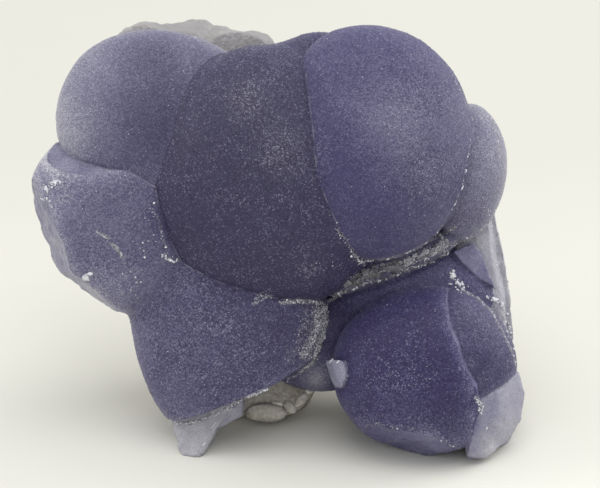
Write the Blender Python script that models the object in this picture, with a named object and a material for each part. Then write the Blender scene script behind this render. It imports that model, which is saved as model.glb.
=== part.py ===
"""Fluorite specimen: purple botryoidal fluorite grown on a pale quartz matrix, about 100 mm across.

The round lobes are placed in the frame of the display face, in millimetres: across to the right,
up along the face, and out towards the viewer. The face leans back, and the whole specimen stands
on flat spots that share one level. The solids are in metres, +Z up, with the origin at the middle
of the specimen's underside.
"""

import math

import bmesh
import bpy
from mathutils import Matrix, Vector, noise

MM = 0.001
FACE_LEAN = math.radians(25)
REST_LEVEL = -41.0  # height of the resting spots below the middle of the face
LOBE_ROUNDS = 4
SMALL_LOBE = 11.0  # a lobe with a smaller half size across is divided one round less
LOBE_BACK = 26.0  # how far a lobe reaches behind its centre, into the matrix
LUMP_SPAN = 11.0  # distance over which a lobe swells and sinks
LUMP_HEIGHT = 0.35
ROCK_SPAN = 8.0
ROCK_HEIGHT = 2.4
KEPT_SHARE = {"fluorite": 0.54, "matrix": 0.3}  # share of the joined faces that is kept

CONTACT_OUT = -14.0  # how far behind the middle of the face the fluorite meets the matrix
GAP = 0.3  # between the fluorite and its matrix
CONTACT_REACH = 62.0
FAR = 60.0  # beyond every surface of the specimen, behind it or in front
CONTACT_SPAN = 13.0
CONTACT_HEIGHT = 1.6
BREAK_REACH = 30.0
BREAK_SPAN = 5.5
BREAK_HEIGHT = 0.5
SHEET_STEPS = 22
GROUND_SIDE = 200.0
GROUND_DEPTH = 40.0
CHUNK_CUTS = 3
CHUNK_SPAN = 3.0
CHUNK_HEIGHT = 0.5

# Each lobe: centre (across, up, out), half sizes in the same directions, roll in degrees
LOBES = {
    "upper_left": ((-21.8, 20.2, -3.6), (24.6, 20.8, 12.0), -36),
    "upper_middle": ((-2.5, 17.5, 2.5), (21.0, 21.5, 13.5), -1),
    "middle": ((-1.5, 12.0, -1.5), (27.0, 25.5, 16.5), 0),
    "upper_bridge": ((8.0, 22.0, -1.0), (18.0, 19.5, 13.0), 0),
    "upper_right": ((17.8, 19.4, 3.2), (20.9, 23.5, 13.5), 3),
    "far_right": ((37.2, 13.6, -5.0), (8.4, 13.8, 12.0), -7),
    "left": ((-30.0, 5.6, -2.0), (21.0, 20.2, 9.6), 1),
    "lower_left": ((-10.5, -11.0, -7.0), (20.0, 31.5, 13.5), -1),
    "lower_right": ((29.5, -26.2, -1.5), (19.0, 16.8, 12.0), 0),
    "lower_right_flank": ((29.6, -25.6, -3.2), (18.0, 16.4, 12.0), 0),
    "recess": ((27.0, -11.0, -14.0), (19.0, 14.0, 12.5), 0),
    "saddle": ((8.0, -19.0, -14.0), (14.0, 12.0, 8.0), 0),
    "druse_ridge": ((22.5, -4.4, -3.5), (15.5, 3.4, 6.0), 23),
}

# Where a lobe or the matrix is broken off: a point of each break and the direction that it faces
BREAKS = {
    "left": [
        ((-43.6, 0.0, 4.4), (-0.910, -0.350, 0.210)),
        ((-40.0, -8.0, 3.0), (-0.615, -0.780, 0.110)),
        ((-38.4, 12.9, 6.1), (-0.14, 0.70, 0.70)),
    ],
    "lower_left": [((-6.0, -31.3, 4.0), (0.40, -0.89, -0.22))],
    "lower_right": [
        ((27.0, -39.3, 4.0), (-0.20, -0.92, 0.34)),
        ((34.2, -18.0, 8.0), (0.88, 0.36, 0.28)),
        ((38.6, -27.0, 8.0), (0.97, 0.06, 0.24)),
        ((39.6, -33.4, 6.4), (0.90, -0.34, 0.28)),
    ],
    "lower_right_flank": [
        ((43.2, -29.5, 3.9), (0.495, -0.866, -0.078)),
    ],
    "matrix": [
        ((0.0, 4.0, -33.5), (0.06, 0.12, -1.0)),
        ((-28.0, 12.0, -27.5), (-0.60, 0.22, -0.77)),
        ((24.0, 20.0, -28.5), (0.46, 0.40, -0.79)),
        ((22.0, -20.0, -31.0), (0.62, -0.40, -0.68)),
    ],
}

# Broken pieces of the crust, each the hull of these corners
CHUNKS = {
    "leg": [
        (-22.8, -34.0, -12.0), (-22.0, -34.0, -4.0), (-9.0, -32.0, -4.0), (-9.0, -32.0, -12.0),
        (-12.2, -36.9, -3.6), (-12.2, -36.9, -11.0), (-19.8, -45.0, -10.0), (-19.6, -45.0, -4.4),
        (-16.8, -45.0, -4.2), (-16.4, -45.0, -9.6),
    ],
    "leg_block": [
        (-14.2, -33.0, -3.4), (-7.2, -31.0, -3.6), (-7.4, -35.6, -4.2), (-10.4, -37.2, -4.4),
        (-14.0, -38.6, -4.2), (-14.0, -33.0, -12.0), (-7.2, -31.0, -12.0), (-7.6, -35.8, -12.0),
        (-13.6, -38.4, -11.0),
    ],
    "flake": [
        (9.2, -24.4, 0.6), (10.2, -23.8, 3.4), (12.6, -24.0, 5.0), (13.2, -27.0, 5.8),
        (12.2, -29.6, 5.0), (10.8, -29.8, 2.6), (10.0, -28.4, 0.6), (16.0, -27.0, 0.0),
    ],
    "corner": [
        (38.9, -32.2, 5.6), (43.4, -29.9, 3.7), (47.8, -26.8, -1.0), (49.2, -31.0, -3.2),
        (48.4, -36.0, -3.6), (45.8, -40.6, -2.6), (41.0, -43.8, 0.3), (37.4, -43.2, 1.8),
        (38.2, -38.6, 4.2), (43.6, -35.4, 2.6), (48.0, -26.0, -12.0), (49.0, -32.0, -12.0),
        (46.0, -41.0, -10.0), (38.0, -44.0, -8.0), (36.0, -34.0, -8.0),
    ],
    "inner_layer": [
        (41.8, 6.0, -7.0), (36.0, 6.0, -6.0), (43.0, -5.0, -6.6), (45.0, -13.0, -8.0),
        (45.6, -23.0, -8.6), (34.0, -22.0, -6.0), (43.6, 6.4, -14.0), (47.0, -14.0, -14.0),
        (47.4, -24.0, -14.0), (32.0, 4.0, -15.0), (32.0, -22.0, -15.0),
    ],
    "outer_layer": [
        (40.0, 8.0, -11.0), (43.6, 5.2, -11.6), (45.6, -3.0, -11.0), (46.6, -12.0, -11.0),
        (47.6, -20.0, -10.6), (46.0, -27.0, -10.0), (38.0, -26.0, -11.0), (43.0, 6.0, -20.0),
        (46.2, -10.0, -20.0), (46.8, -20.0, -20.0), (34.0, -24.0, -20.0), (34.0, 8.0, -20.0),
    ],
}

# Each rock lump of the matrix: centre and half sizes
ROCKS = {
    "bulk": ((-2.0, 7.0, -20.0), (40.0, 31.0, 16.0)),
    "left_lump": ((-31.0, 7.0, -19.0), (13.6, 15.0, 12.0)),
    "upper_right_lump": ((19.0, 20.0, -19.0), (17.0, 18.4, 13.0)),
    "right_lump": ((33.0, 0.0, -19.0), (11.0, 23.0, 12.0)),
    "lower_left_lump": ((-12.0, -18.0, -20.0), (15.6, 16.0, 15.0)),
    "lower_right_lump": ((29.0, -22.6, -18.0), (13.0, 14.0, 11.0)),
    "foot": ((-4.0, -28.0, -20.0), (11.5, 9.4, 14.0)),
    "heel": ((-4.8, -25.0, -28.0), (11.0, 15.0, 11.0)),
    "top_left_lump": ((-27.0, 35.6, -19.0), (13.6, 9.6, 8.6)),
    "top_middle_lump": ((-21.4, 37.2, -18.6), (10.6, 8.2, 7.0)),
    "top_right_lump": ((-9.8, 35.4, -19.0), (10.6, 8.8, 8.0)),
}

# Base colour and roughness of each piece
LOOKS = {"fluorite": ((0.11, 0.10, 0.24, 1.0), 0.55), "matrix": ((0.52, 0.48, 0.43, 1.0), 0.8)}


def across_up_out(point):
    """A point of the display face's frame, in millimetres, in the specimen's own frame in metres."""
    across, up, out = (value * MM for value in point)
    return Vector((
        across,
        up * math.sin(FACE_LEAN) - out * math.cos(FACE_LEAN),
        up * math.cos(FACE_LEAN) + out * math.sin(FACE_LEAN),
    ))


def object_from(bm, name, collection):
    """An object made of these faces, which are placed in the display face's frame."""
    for vertex in bm.verts:
        vertex.co = across_up_out(vertex.co)
    mesh = bpy.data.meshes.new(name)
    bm.to_mesh(mesh)
    bm.free()
    made = bpy.data.objects.new(name, mesh)
    collection.objects.link(made)
    return made


def ball(name, centre, half_sizes, roll, back, span, height, collection):
    """An ellipsoid whose surface swells and sinks a little; its rear half reaches this far back."""
    bm = bmesh.new()
    rounds = LOBE_ROUNDS if half_sizes[0] > SMALL_LOBE else LOBE_ROUNDS - 1
    bmesh.ops.create_icosphere(bm, subdivisions=rounds, radius=1.0)
    spin = Matrix.Rotation(math.radians(roll), 3, "Z")
    for vertex in bm.verts:
        outward = vertex.co.normalized()
        across, up, out = half_sizes
        depth = out if outward.z > 0 else back
        swollen = Vector((outward.x * across, outward.y * up, outward.z * depth))
        place = spin @ swollen + Vector(centre)
        vertex.co = place + spin @ outward * noise.noise(place / span) * height
    return object_from(bm, name, collection)


def chunk(name, corners, collection):
    """A broken piece: the hull of its corners, with rough sides."""
    bm = bmesh.new()
    for corner in corners:
        bm.verts.new(corner)
    hull = bmesh.ops.convex_hull(bm, input=bm.verts[:])
    inside = {item for item in hull["geom_interior"] if isinstance(item, bmesh.types.BMVert)}
    bmesh.ops.delete(bm, geom=list(inside), context="VERTS")
    bmesh.ops.subdivide_edges(bm, edges=bm.edges[:], cuts=CHUNK_CUTS, use_grid_fill=True)
    bm.normal_update()
    for vertex in bm.verts:
        rise = noise.noise(vertex.co / CHUNK_SPAN) * CHUNK_HEIGHT
        vertex.co += vertex.normal * rise
    return object_from(bm, name, collection)


def sheet_block(name, point, normal, reach, far, span, height, collection):
    """A block between a rough sheet through this point and a flat side this far along the normal."""
    bm = bmesh.new()
    bmesh.ops.create_grid(bm, x_segments=SHEET_STEPS, y_segments=SHEET_STEPS, size=reach)
    bmesh.ops.triangulate(bm, faces=bm.faces[:], quad_method="FIXED")
    for vertex in bm.verts:
        vertex.co.z = noise.noise(vertex.co / span) * height
    raised = bmesh.ops.extrude_face_region(bm, geom=bm.faces[:])
    for item in raised["geom"]:
        if isinstance(item, bmesh.types.BMVert):
            item.co.z = far
    bmesh.ops.recalc_face_normals(bm, faces=bm.faces[:])
    turn = Vector(normal).to_track_quat("Z", "Y").to_matrix()
    for vertex in bm.verts:
        vertex.co = turn @ vertex.co + Vector(point)
    return object_from(bm, name, collection)


def breaks(name, collection):
    """The blocks that break this lobe or piece off."""
    shape = (BREAK_REACH, BREAK_REACH, BREAK_SPAN, BREAK_HEIGHT)
    return [sheet_block("break", point, facing, *shape, collection) for point, facing in BREAKS[name]]


def contact_block(name, out, far, collection):
    """A block on one side of the rough sheet where the fluorite meets the matrix."""
    point, facing = (0, 0, out), (0, 0, 1)
    return sheet_block(
        name, point, facing, CONTACT_REACH, far, CONTACT_SPAN, CONTACT_HEIGHT, collection
    )


def ground_block(collection):
    """A block whose top is the level that the specimen stands on."""
    bm = bmesh.new()
    bmesh.ops.create_cube(bm, size=1.0)
    bmesh.ops.scale(bm, vec=(GROUND_SIDE, GROUND_SIDE, GROUND_DEPTH), verts=bm.verts[:])
    bmesh.ops.translate(bm, vec=(0, 0, REST_LEVEL - GROUND_DEPTH / 2), verts=bm.verts[:])
    bmesh.ops.scale(bm, vec=(MM, MM, MM), verts=bm.verts[:])
    mesh = bpy.data.meshes.new("ground")
    bm.to_mesh(mesh)
    bm.free()
    made = bpy.data.objects.new("ground", mesh)
    collection.objects.link(made)
    return made


def combined(name, first, others, operation, scrap):
    """A new object: the first solid with the others joined to it or cut from it."""
    operands = bpy.data.collections.new(name + "_operands")
    scrap.children.link(operands)
    for other in others:
        operands.objects.link(other)
    step = first.modifiers.new(operation, "BOOLEAN")
    step.operation = operation
    step.operand_type = "COLLECTION"
    step.collection = operands
    return result_of(name, first, scrap)


def result_of(name, obj, collection):
    """A new object that holds what the modifiers make of this one."""
    graph = bpy.context.evaluated_depsgraph_get()
    mesh = bpy.data.meshes.new_from_object(obj.evaluated_get(graph))
    made = bpy.data.objects.new(name, mesh)
    collection.objects.link(made)
    return made


def slimmed(name, obj, share, collection):
    """The same solid with this share of its faces."""
    step = obj.modifiers.new("slim", "DECIMATE")
    step.ratio = share
    return result_of(name, obj, collection)


def lobe(name, centre, half_sizes, roll, scrap):
    """A round lobe, with its breaks."""
    whole = ball(name, centre, half_sizes, roll, LOBE_BACK, LUMP_SPAN, LUMP_HEIGHT, scrap)
    if name not in BREAKS:
        return whole
    return combined(name + "_broken", whole, breaks(name, scrap), "DIFFERENCE", scrap)


def finished(name, parts, cuts, scrap, model):
    """One piece of the specimen: its parts joined, slimmed and cut, with its material."""
    whole = combined(name + "_joined", parts[0], parts[1:], "UNION", scrap)
    slim = slimmed(name + "_slim", whole, KEPT_SHARE[name], scrap)
    made = combined(name, slim, cuts, "DIFFERENCE", scrap)
    model.objects.link(made)
    colour, roughness = LOOKS[name]
    material = bpy.data.materials.new(name)
    material.use_nodes = True
    shader = material.node_tree.nodes["Principled BSDF"]
    shader.inputs["Base Color"].default_value = colour
    shader.inputs["Roughness"].default_value = roughness
    made.data.materials.clear()
    made.data.materials.append(material)
    return made


def main():
    for obj in list(bpy.data.objects):
        bpy.data.objects.remove(obj)
    scrap = bpy.data.collections.new("scrap")
    model = bpy.data.collections.new("fluorite_specimen")
    for collection in (scrap, model):
        bpy.context.scene.collection.children.link(collection)

    behind = contact_block("behind", CONTACT_OUT, -FAR, scrap)
    in_front = contact_block("in_front", CONTACT_OUT - GAP, FAR, scrap)
    ground = ground_block(scrap)

    lobes = [lobe(name, *sizes, scrap) for name, sizes in LOBES.items()]
    chunks = [chunk(name, corners, scrap) for name, corners in CHUNKS.items()]
    rocks = [
        ball(name, centre, sizes, 0, sizes[2], ROCK_SPAN, ROCK_HEIGHT, scrap)
        for name, (centre, sizes) in ROCKS.items()
    ]
    pieces = [
        finished("fluorite", lobes + chunks, [behind, ground], scrap, model),
        finished("matrix", rocks, [in_front, ground] + breaks("matrix", scrap), scrap, model),
    ]

    corners = [Vector(corner) for piece in pieces for corner in piece.bound_box]
    low = Vector(min(corner[axis] for corner in corners) for axis in range(3))
    high = Vector(max(corner[axis] for corner in corners) for axis in range(3))
    middle = Vector(((low.x + high.x) / 2, (low.y + high.y) / 2, low.z))
    for piece in pieces:
        scrap.objects.unlink(piece)
        piece.data.transform(Matrix.Translation(-middle))
    for obj in list(scrap.all_objects):
        bpy.data.objects.remove(obj)
    size, origin = ([round(value / MM, 4) for value in place] for place in (high - low, middle))
    print("size", size, "origin", origin)
    for piece in pieces:
        piece.data.calc_loop_triangles()
        print(piece.name, len(piece.data.loop_triangles), "triangles")


main()
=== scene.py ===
"""Looks for the fluorite specimen: purple botryoidal fluorite grown on a pale quartz matrix.

The lobes are placed in the display face's frame, in millimetres: across, up and out towards the
viewer. Distances to the lobes, broken pieces and breaks say what each point of the surface belongs
to, and so its relief and colour. Pixels are places in the photograph, which the camera's lines of
sight carry onto the surface.
"""

import math

import bmesh
import bpy
import numpy as np
from mathutils import Matrix, Vector, noise
from mathutils.bvhtree import BVHTree


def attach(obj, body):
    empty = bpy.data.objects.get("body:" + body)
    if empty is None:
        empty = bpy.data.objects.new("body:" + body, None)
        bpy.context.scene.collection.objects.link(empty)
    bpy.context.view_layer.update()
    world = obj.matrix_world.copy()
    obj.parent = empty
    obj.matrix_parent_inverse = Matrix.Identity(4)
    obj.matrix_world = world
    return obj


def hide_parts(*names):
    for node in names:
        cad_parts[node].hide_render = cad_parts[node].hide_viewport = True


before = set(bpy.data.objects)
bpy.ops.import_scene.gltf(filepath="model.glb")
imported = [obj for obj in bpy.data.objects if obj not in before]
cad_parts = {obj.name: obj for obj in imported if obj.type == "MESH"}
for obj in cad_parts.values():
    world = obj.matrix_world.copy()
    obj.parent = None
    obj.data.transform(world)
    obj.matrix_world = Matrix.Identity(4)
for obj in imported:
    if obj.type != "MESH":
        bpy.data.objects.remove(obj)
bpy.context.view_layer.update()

MM = 0.001
FACE_LEAN = math.radians(25)
SINE, COSINE = math.sin(FACE_LEAN), math.cos(FACE_LEAN)
REST_LEVEL = -41.0
ORIGIN = (-0.3285, 9.1832, -41.0)  # the specimen's origin, from the middle of its face
LOBE_BACK = 26.0
LUMP_SPAN = 11.0
LUMP_HEIGHT = 0.35
ROCK_SPAN = 8.0
ROCK_HEIGHT = 2.4
CONTACT_OUT = -14.0
CONTACT_SPAN = 13.0
CONTACT_HEIGHT = 1.6
OVERLAP = 0.2  # how far the matrix reaches into the fluorite, so that no gap shows
SMOOTH_BREAKS = 30.0  # the breaks further to the right than this are smoother
FACING_UP = 0.5  # and so are those that face up more than this
SMOOTH_SHARE = 0.35
CRYSTALS_BEHIND = -22.0  # the quartz crystals grow further back than this
CRYSTALS_ABOVE = 3.0  # and this far above the floor
CRYSTAL_SIZES, CRYSTAL_DENSITY = (0.5, 1.4), 0.30
CRYSTAL_PATCHES = (7.0, 61.0)
FOOT_UP, FOOT_OUT = (-22.0, -30.0), (-32.0, -28.0)  # where the matrix's foot begins and is whole
TOP_UP = (26.0, 32.0)  # and its top
GRAIN_SIZES = (0.11, 0.25)
PLAIN_GRAINS, SPARKLING_GRAINS = 1.2, 6.0  # to a square millimetre, and the more where it sparkles
GRAINS_FRONT, GRAINS_CUT = 1.0, -0.1  # how far the grains stay from the matrix and from the breaks
FAR, NEAR, TINY = 9.0, 3.0, 1e-6  # limits of the distances that say what a point belongs to
BALL_ROUNDS = 6
CHUNK_CUTS = 3
CHIP_CORNERS, PEBBLE_CORNERS = 16, 60
PLATE_SIDES = 6
MERGE_ROUNDS = 180
MERGE_REACH = (2.0, 9.0)  # how far from a crease its smoothing begins to fade and ends
CREASE_DEPTH, CREASE_WIDTH = 0.22, 0.35
WHOLE_COAT = 16.0  # crystals to a square millimetre that hide the skin
COAT_ENDS = (-9.5, -8.0)  # how far back the coat of crystals ends
CLEAVAGE_STEPS = 5.0
VOXEL = {"fluorite": 0.29, "matrix": 0.46}
TRIANGLES = {"fluorite": 188000, "matrix": 130000}

# Relief of each kind of surface: layers of noise as height, span and shift
BREAK_RELIEF = [(0.50, 3.8, 41.0), (0.18, 1.4, 43.0)]
GROWN_RELIEF = [(0.14, 5.2, 3.0), (0.05, 1.5, 7.0), (0.04, 0.7, 11.0)]
COAT_RELIEF = [(0.12, 1.1, 53.0), (0.14, 0.6, 59.0)]
CLEAVAGE_WAVES = [(1.0, 6.5, 19.0), (0.3, 2.2, 23.0)]
CLEAVED_RELIEF = [(0.05, 0.9, 29.0)]
QUARTZ_RELIEF = [(0.40, 3.1, 5.0), (0.22, 1.2, 9.0)]
PATCHINESS = [(0.9, 11.0, 67.0), (0.5, 4.0, 71.0)]  # of the coats of crystals, in pixels

# The photograph: size, millimetres to a pixel, and the pixel at the middle of the face
IMAGE = (600, 488)
PIXEL = 0.2
MIDDLE = (280.0, 240.0)
CAMERA = (4.0, -0.8, 700.0)

# Each lobe: centre (across, up, out), half sizes in the same directions, roll in degrees, how
# pale its skin is at its crown and at its rim, from 0, dark violet, to 1, and how grey, and how
# much it sparkles; the paler rim is painted glow, standing for light through the crust's thin edge
LOBES = {
    "upper_left": ((-21.8, 20.2, -3.6), (24.6, 20.8, 12), -36, (0.43, 0.88, 0.5), 0.18),
    "upper_middle": ((-2.5, 17.5, 2.5), (21, 21.5, 13.5), -1, (0.08, 0.42, 0.65), 0.6),
    "middle": ((-1.5, 12, -1.5), (27, 25.5, 16.5), 0, (-0.09, 0.08, 0.3), 0.76),
    "upper_bridge": ((8, 22, -1), (18, 19.5, 13), 0, (0.12, 0.48, 0.3), 0.4),
    "upper_right": ((17.8, 19.4, 3.2), (20.9, 23.5, 13.5), 3, (0.34, 0.56, 0.12), 0.18),
    "far_right": ((37.2, 13.6, -5), (8.4, 13.8, 12), -7, (0.61, 0.98, 0.45), 0.2),
    "druse_ridge": ((22.5, -4.4, -3.5), (15.5, 3.4, 6), 23, (0.42, 0.6, 0.6), 0.25),
    "left": ((-30, 5.6, -2), (21, 20.2, 9.6), 1, (0.5, 0.76, 0.32), 0.26),
    "lower_left": ((-10.5, -11, -7), (20, 31.5, 13.5), -1, (0.25, 0.54, 0.25), 0.55),
    "lower_right": ((29.5, -26.2, -1.5), (19, 16.8, 12), 0, (0.07, 0.44, 0), 0.5),
    "lower_right_flank": ((29.6, -25.6, -3.2), (18, 16.4, 12), 0, (0.24, 0.5, 0.2), 0.4),
    "recess": ((27, -11, -14), (19, 14, 12.5), 0, (0.56, 0.6, 0.05), 0.25),
    "saddle": ((8, -19, -14), (14, 12, 8), 0, (0.34, 0.44, 0.3), 0.25),
}
UPPER = list(LOBES)[:7]  # the lobes of the upper piece of the crust

# Lobes that have grown into one another, and how far the crease between them is smoothed away
MERGED = [
    (("upper_middle", "middle", "upper_bridge"), 1),
    (("left", "lower_left"), 0.3),
    (("lower_right_flank", "recess", "saddle"), 0.1),
]

# Other lobes with a soft crease between them, and how far it is smoothed
SOFTENED = [
    (("upper_left", "upper_middle"), 0.3),
    (("upper_left", "middle"), 0.3),
]

# Where a lobe or the matrix is broken off: a point of each break, the direction that it faces and
# how pale it is
BREAKS = {
    "left": [
        ((-43.6, 0, 4.4), (-0.91, -0.35, 0.21), 0.76),
        ((-40, -8, 3), (-0.615, -0.78, 0.11), 0.8),
        ((-38.4, 12.9, 6.1), (-0.14, 0.7, 0.7), 0.76),
    ],
    "lower_left": [((-6, -31.3, 4), (0.4, -0.89, -0.22), 0.35)],
    "lower_right": [
        ((27, -39.3, 4), (-0.2, -0.92, 0.34), 0.45),
        ((34.2, -18, 8), (0.88, 0.36, 0.28), 0.52),
        ((38.6, -27, 8), (0.97, 0.06, 0.24), 0.5),
        ((39.6, -33.4, 6.4), (0.9, -0.34, 0.28), 0.45),
    ],
    "lower_right_flank": [
        ((43.2, -29.5, 3.9), (0.495, -0.866, -0.078), 0.6),
    ],
    "matrix": [
        ((0, 4, -33.5), (0.06, 0.12, -1), 0),
        ((-28, 12, -27.5), (-0.6, 0.22, -0.77), 0),
        ((24, 20, -28.5), (0.46, 0.4, -0.79), 0),
        ((22, -20, -31), (0.62, -0.4, -0.68), 0),
    ],
}

# Broken pieces of the crust: how pale, how grey, and the corners whose hull the piece is
CHUNKS = {
    "leg": (0.97, 0.9, [(-22.8, -34, -12), (-22, -34, -4), (-9, -32, -4), (-9, -32, -12),
     (-12.2, -36.9, -3.6), (-12.2, -36.9, -11), (-19.8, -45, -10), (-19.6, -45, -4.4), (-16.8, -45, -4.2),
     (-16.4, -45, -9.6)]),
    "leg_block": (0.88, 0.7, [(-14.2, -33, -3.4), (-7.2, -31, -3.6), (-7.4, -35.6, -4.2),
     (-10.4, -37.2, -4.4), (-14, -38.6, -4.2), (-14, -33, -12), (-7.2, -31, -12), (-7.6, -35.8, -12),
     (-13.6, -38.4, -11)]),
    "flake": (0.8, 0.4, [(9.2, -24.4, 0.6), (10.2, -23.8, 3.4), (12.6, -24, 5), (13.2, -27, 5.8),
     (12.2, -29.6, 5), (10.8, -29.8, 2.6), (10, -28.4, 0.6), (16, -27, 0)]),
    "corner": (0.92, 0.2, [(38.9, -32.2, 5.6), (43.4, -29.9, 3.7), (47.8, -26.8, -1), (49.2, -31, -3.2),
     (48.4, -36, -3.6), (45.8, -40.6, -2.6), (41, -43.8, 0.3), (37.4, -43.2, 1.8), (38.2, -38.6, 4.2),
     (43.6, -35.4, 2.6), (48, -26, -12), (49, -32, -12), (46, -41, -10), (38, -44, -8), (36, -34, -8)]),
    "inner_layer": (1, 0.6, [(41.8, 6, -7), (36, 6, -6), (43, -5, -6.6), (45, -13, -8), (45.6, -23, -8.6),
     (34, -22, -6), (43.6, 6.4, -14), (47, -14, -14), (47.4, -24, -14), (32, 4, -15), (32, -22, -15)]),
    "outer_layer": (0.93, 0.9, [(40, 8, -11), (43.6, 5.2, -11.6), (45.6, -3, -11), (46.6, -12, -11),
     (47.6, -20, -10.6), (46, -27, -10), (38, -26, -11), (43, 6, -20), (46.2, -10, -20), (46.8, -20, -20),
     (34, -24, -20), (34, 8, -20)]),
    "cleaved_patch": (0.71, 0, [(34.6, -2.2, -3.6), (38.8, -0.4, -4.6), (40.4, -2.8, -5),
     (43.4, -9.8, -5.6), (40.4, -8.2, -4.6), (37.6, -5.6, -3.8), (35, -2.4, -12), (43, -9.6, -12),
     (37.6, -6, -12)]),
}

# Each rock lump of the matrix: centre and half sizes
ROCKS = {
    "bulk": ((-2, 7, -20), (40, 31, 16)),
    "left_lump": ((-31, 7, -19), (13.6, 15, 12)),
    "upper_right_lump": ((19, 20, -19), (17, 18.4, 13)),
    "right_lump": ((33, 0, -19), (11, 23, 12)),
    "lower_left_lump": ((-12, -18, -20), (15.6, 16, 15)),
    "lower_right_lump": ((29, -22.6, -18), (13, 14, 11)),
    "foot": ((-4, -28, -20), (11.5, 9.4, 14)),
    "heel": ((-4.8, -25, -28), (11, 15, 11)),
    "top_left_lump": ((-27, 35.6, -19), (13.6, 9.6, 8.6)),
    "top_middle_lump": ((-21.4, 37.2, -18.6), (10.6, 8.2, 7)),
    "top_right_lump": ((-9.8, 35.4, -19), (10.6, 8.8, 8)),
}

LIPS = ("upper_right", "left", "lower_left", "lower_right")  # lobes with a thin pale line just inside the edge, a painted highlight

# Patches of the skin that differ from the rest, partly in its own tone and partly painted light and
# shade (paler glow at thin edges and beside ridges, darker shade in hollows): pixel, radius, how much
# paler, how much greyer
TONES = [
    (70, 125, 45, 0.22, 0.05), (100, 70, 25, 0.12, 0), (160, 50, 25, -0.08, 0),
    (55, 160, 22, 0.18, 0.15), (60, 205, 18, 0.16, 0), (150, 120, 45, -0.15, 0),
    (165, 150, 30, -0.08, 0), (180, 220, 24, -0.4, 0), (250, 240, 40, -0.06, 0),
    (110, 285, 25, 0.1, 0), (285, 150, 30, 0.19, 0.25), (245, 100, 22, 0.1, 0.25),
    (230, 130, 25, -0.04, 0), (308, 268, 15, 0.12, 0.15), (390, 125, 45, 0.27, 0.1),
    (440, 140, 40, 0.06, 0.12), (428, 180, 22, 0.06, 0.15), (375, 45, 40, 0.02, 0),
    (465, 110, 20, 0.05, 0.15), (345, 160, 40, -0.08, -0.1), (370, 225, 40, -0.1, -0.15),
    (490, 160, 25, 0.06, 0.1), (475, 220, 15, -0.14, 0), (145, 340, 18, 0.08, 0),
    (205, 335, 45, 0.1, 0), (285, 335, 20, -0.09, 0.05), (175, 395, 30, 0.12, 0),
    (352, 325, 34, -0.14, 0), (400, 400, 30, 0.16, 0), (430, 440, 20, 0.26, 0),
    (316, 378, 14, 0.45, 0.6), (400, 286, 16, 0.1, 0), (430, 300, 40, -0.08, 0),
    (443, 305, 9, 0.18, 0), (449, 325, 10, 0.24, 0), (456, 345, 10, 0.24, 0),
    (463, 365, 10, 0.26, 0), (468, 388, 10, 0.26, 0), (470, 415, 12, 0.26, 0),
    (468, 440, 14, 0.3, 0), (484, 360, 10, -0.1, 0), (504, 235, 9, 0.45, 0.4),
    (508, 262, 9, 0.5, 0.4), (513, 288, 8, 0.45, 0.4),
]

# The same for the broken surfaces, also partly painted light and shade
CUT_TONES = [
    (86, 170, 14, -0.06, 0), (430, 442, 34, 0.22, 0), (504, 235, 9, 0.2, 0),
    (508, 262, 9, 0.25, 0), (513, 288, 8, 0.2, 0), (488, 412, 16, -0.14, -0.1),
    (508, 425, 16, 0.1, 0.2), (492, 450, 12, 0.14, 0.2), (471, 428, 12, -0.2, -0.1),
    (468, 448, 12, -0.16, -0.1), (196, 446, 12, 0.05, 0.3), (60, 250, 20, 0.06, 0),
    (95, 300, 25, 0.16, 0.1),
]

# Sparkling patches: pixel, radius, strength
SPARKLES = [
    (245, 100, 28, 1), (267, 126, 26, 0.6), (288, 155, 36, 1), (298, 195, 28, 0.5),
    (225, 130, 26, 0.25), (250, 215, 40, 0.25), (420, 100, 45, 0.32), (430, 175, 40, 0.42),
    (400, 170, 40, 0.3), (305, 265, 22, 1), (215, 315, 35, 0.75), (405, 370, 50, 0.7),
    (480, 330, 40, 0.45), (110, 270, 40, 0.4), (60, 190, 20, 0.5),
]

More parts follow.
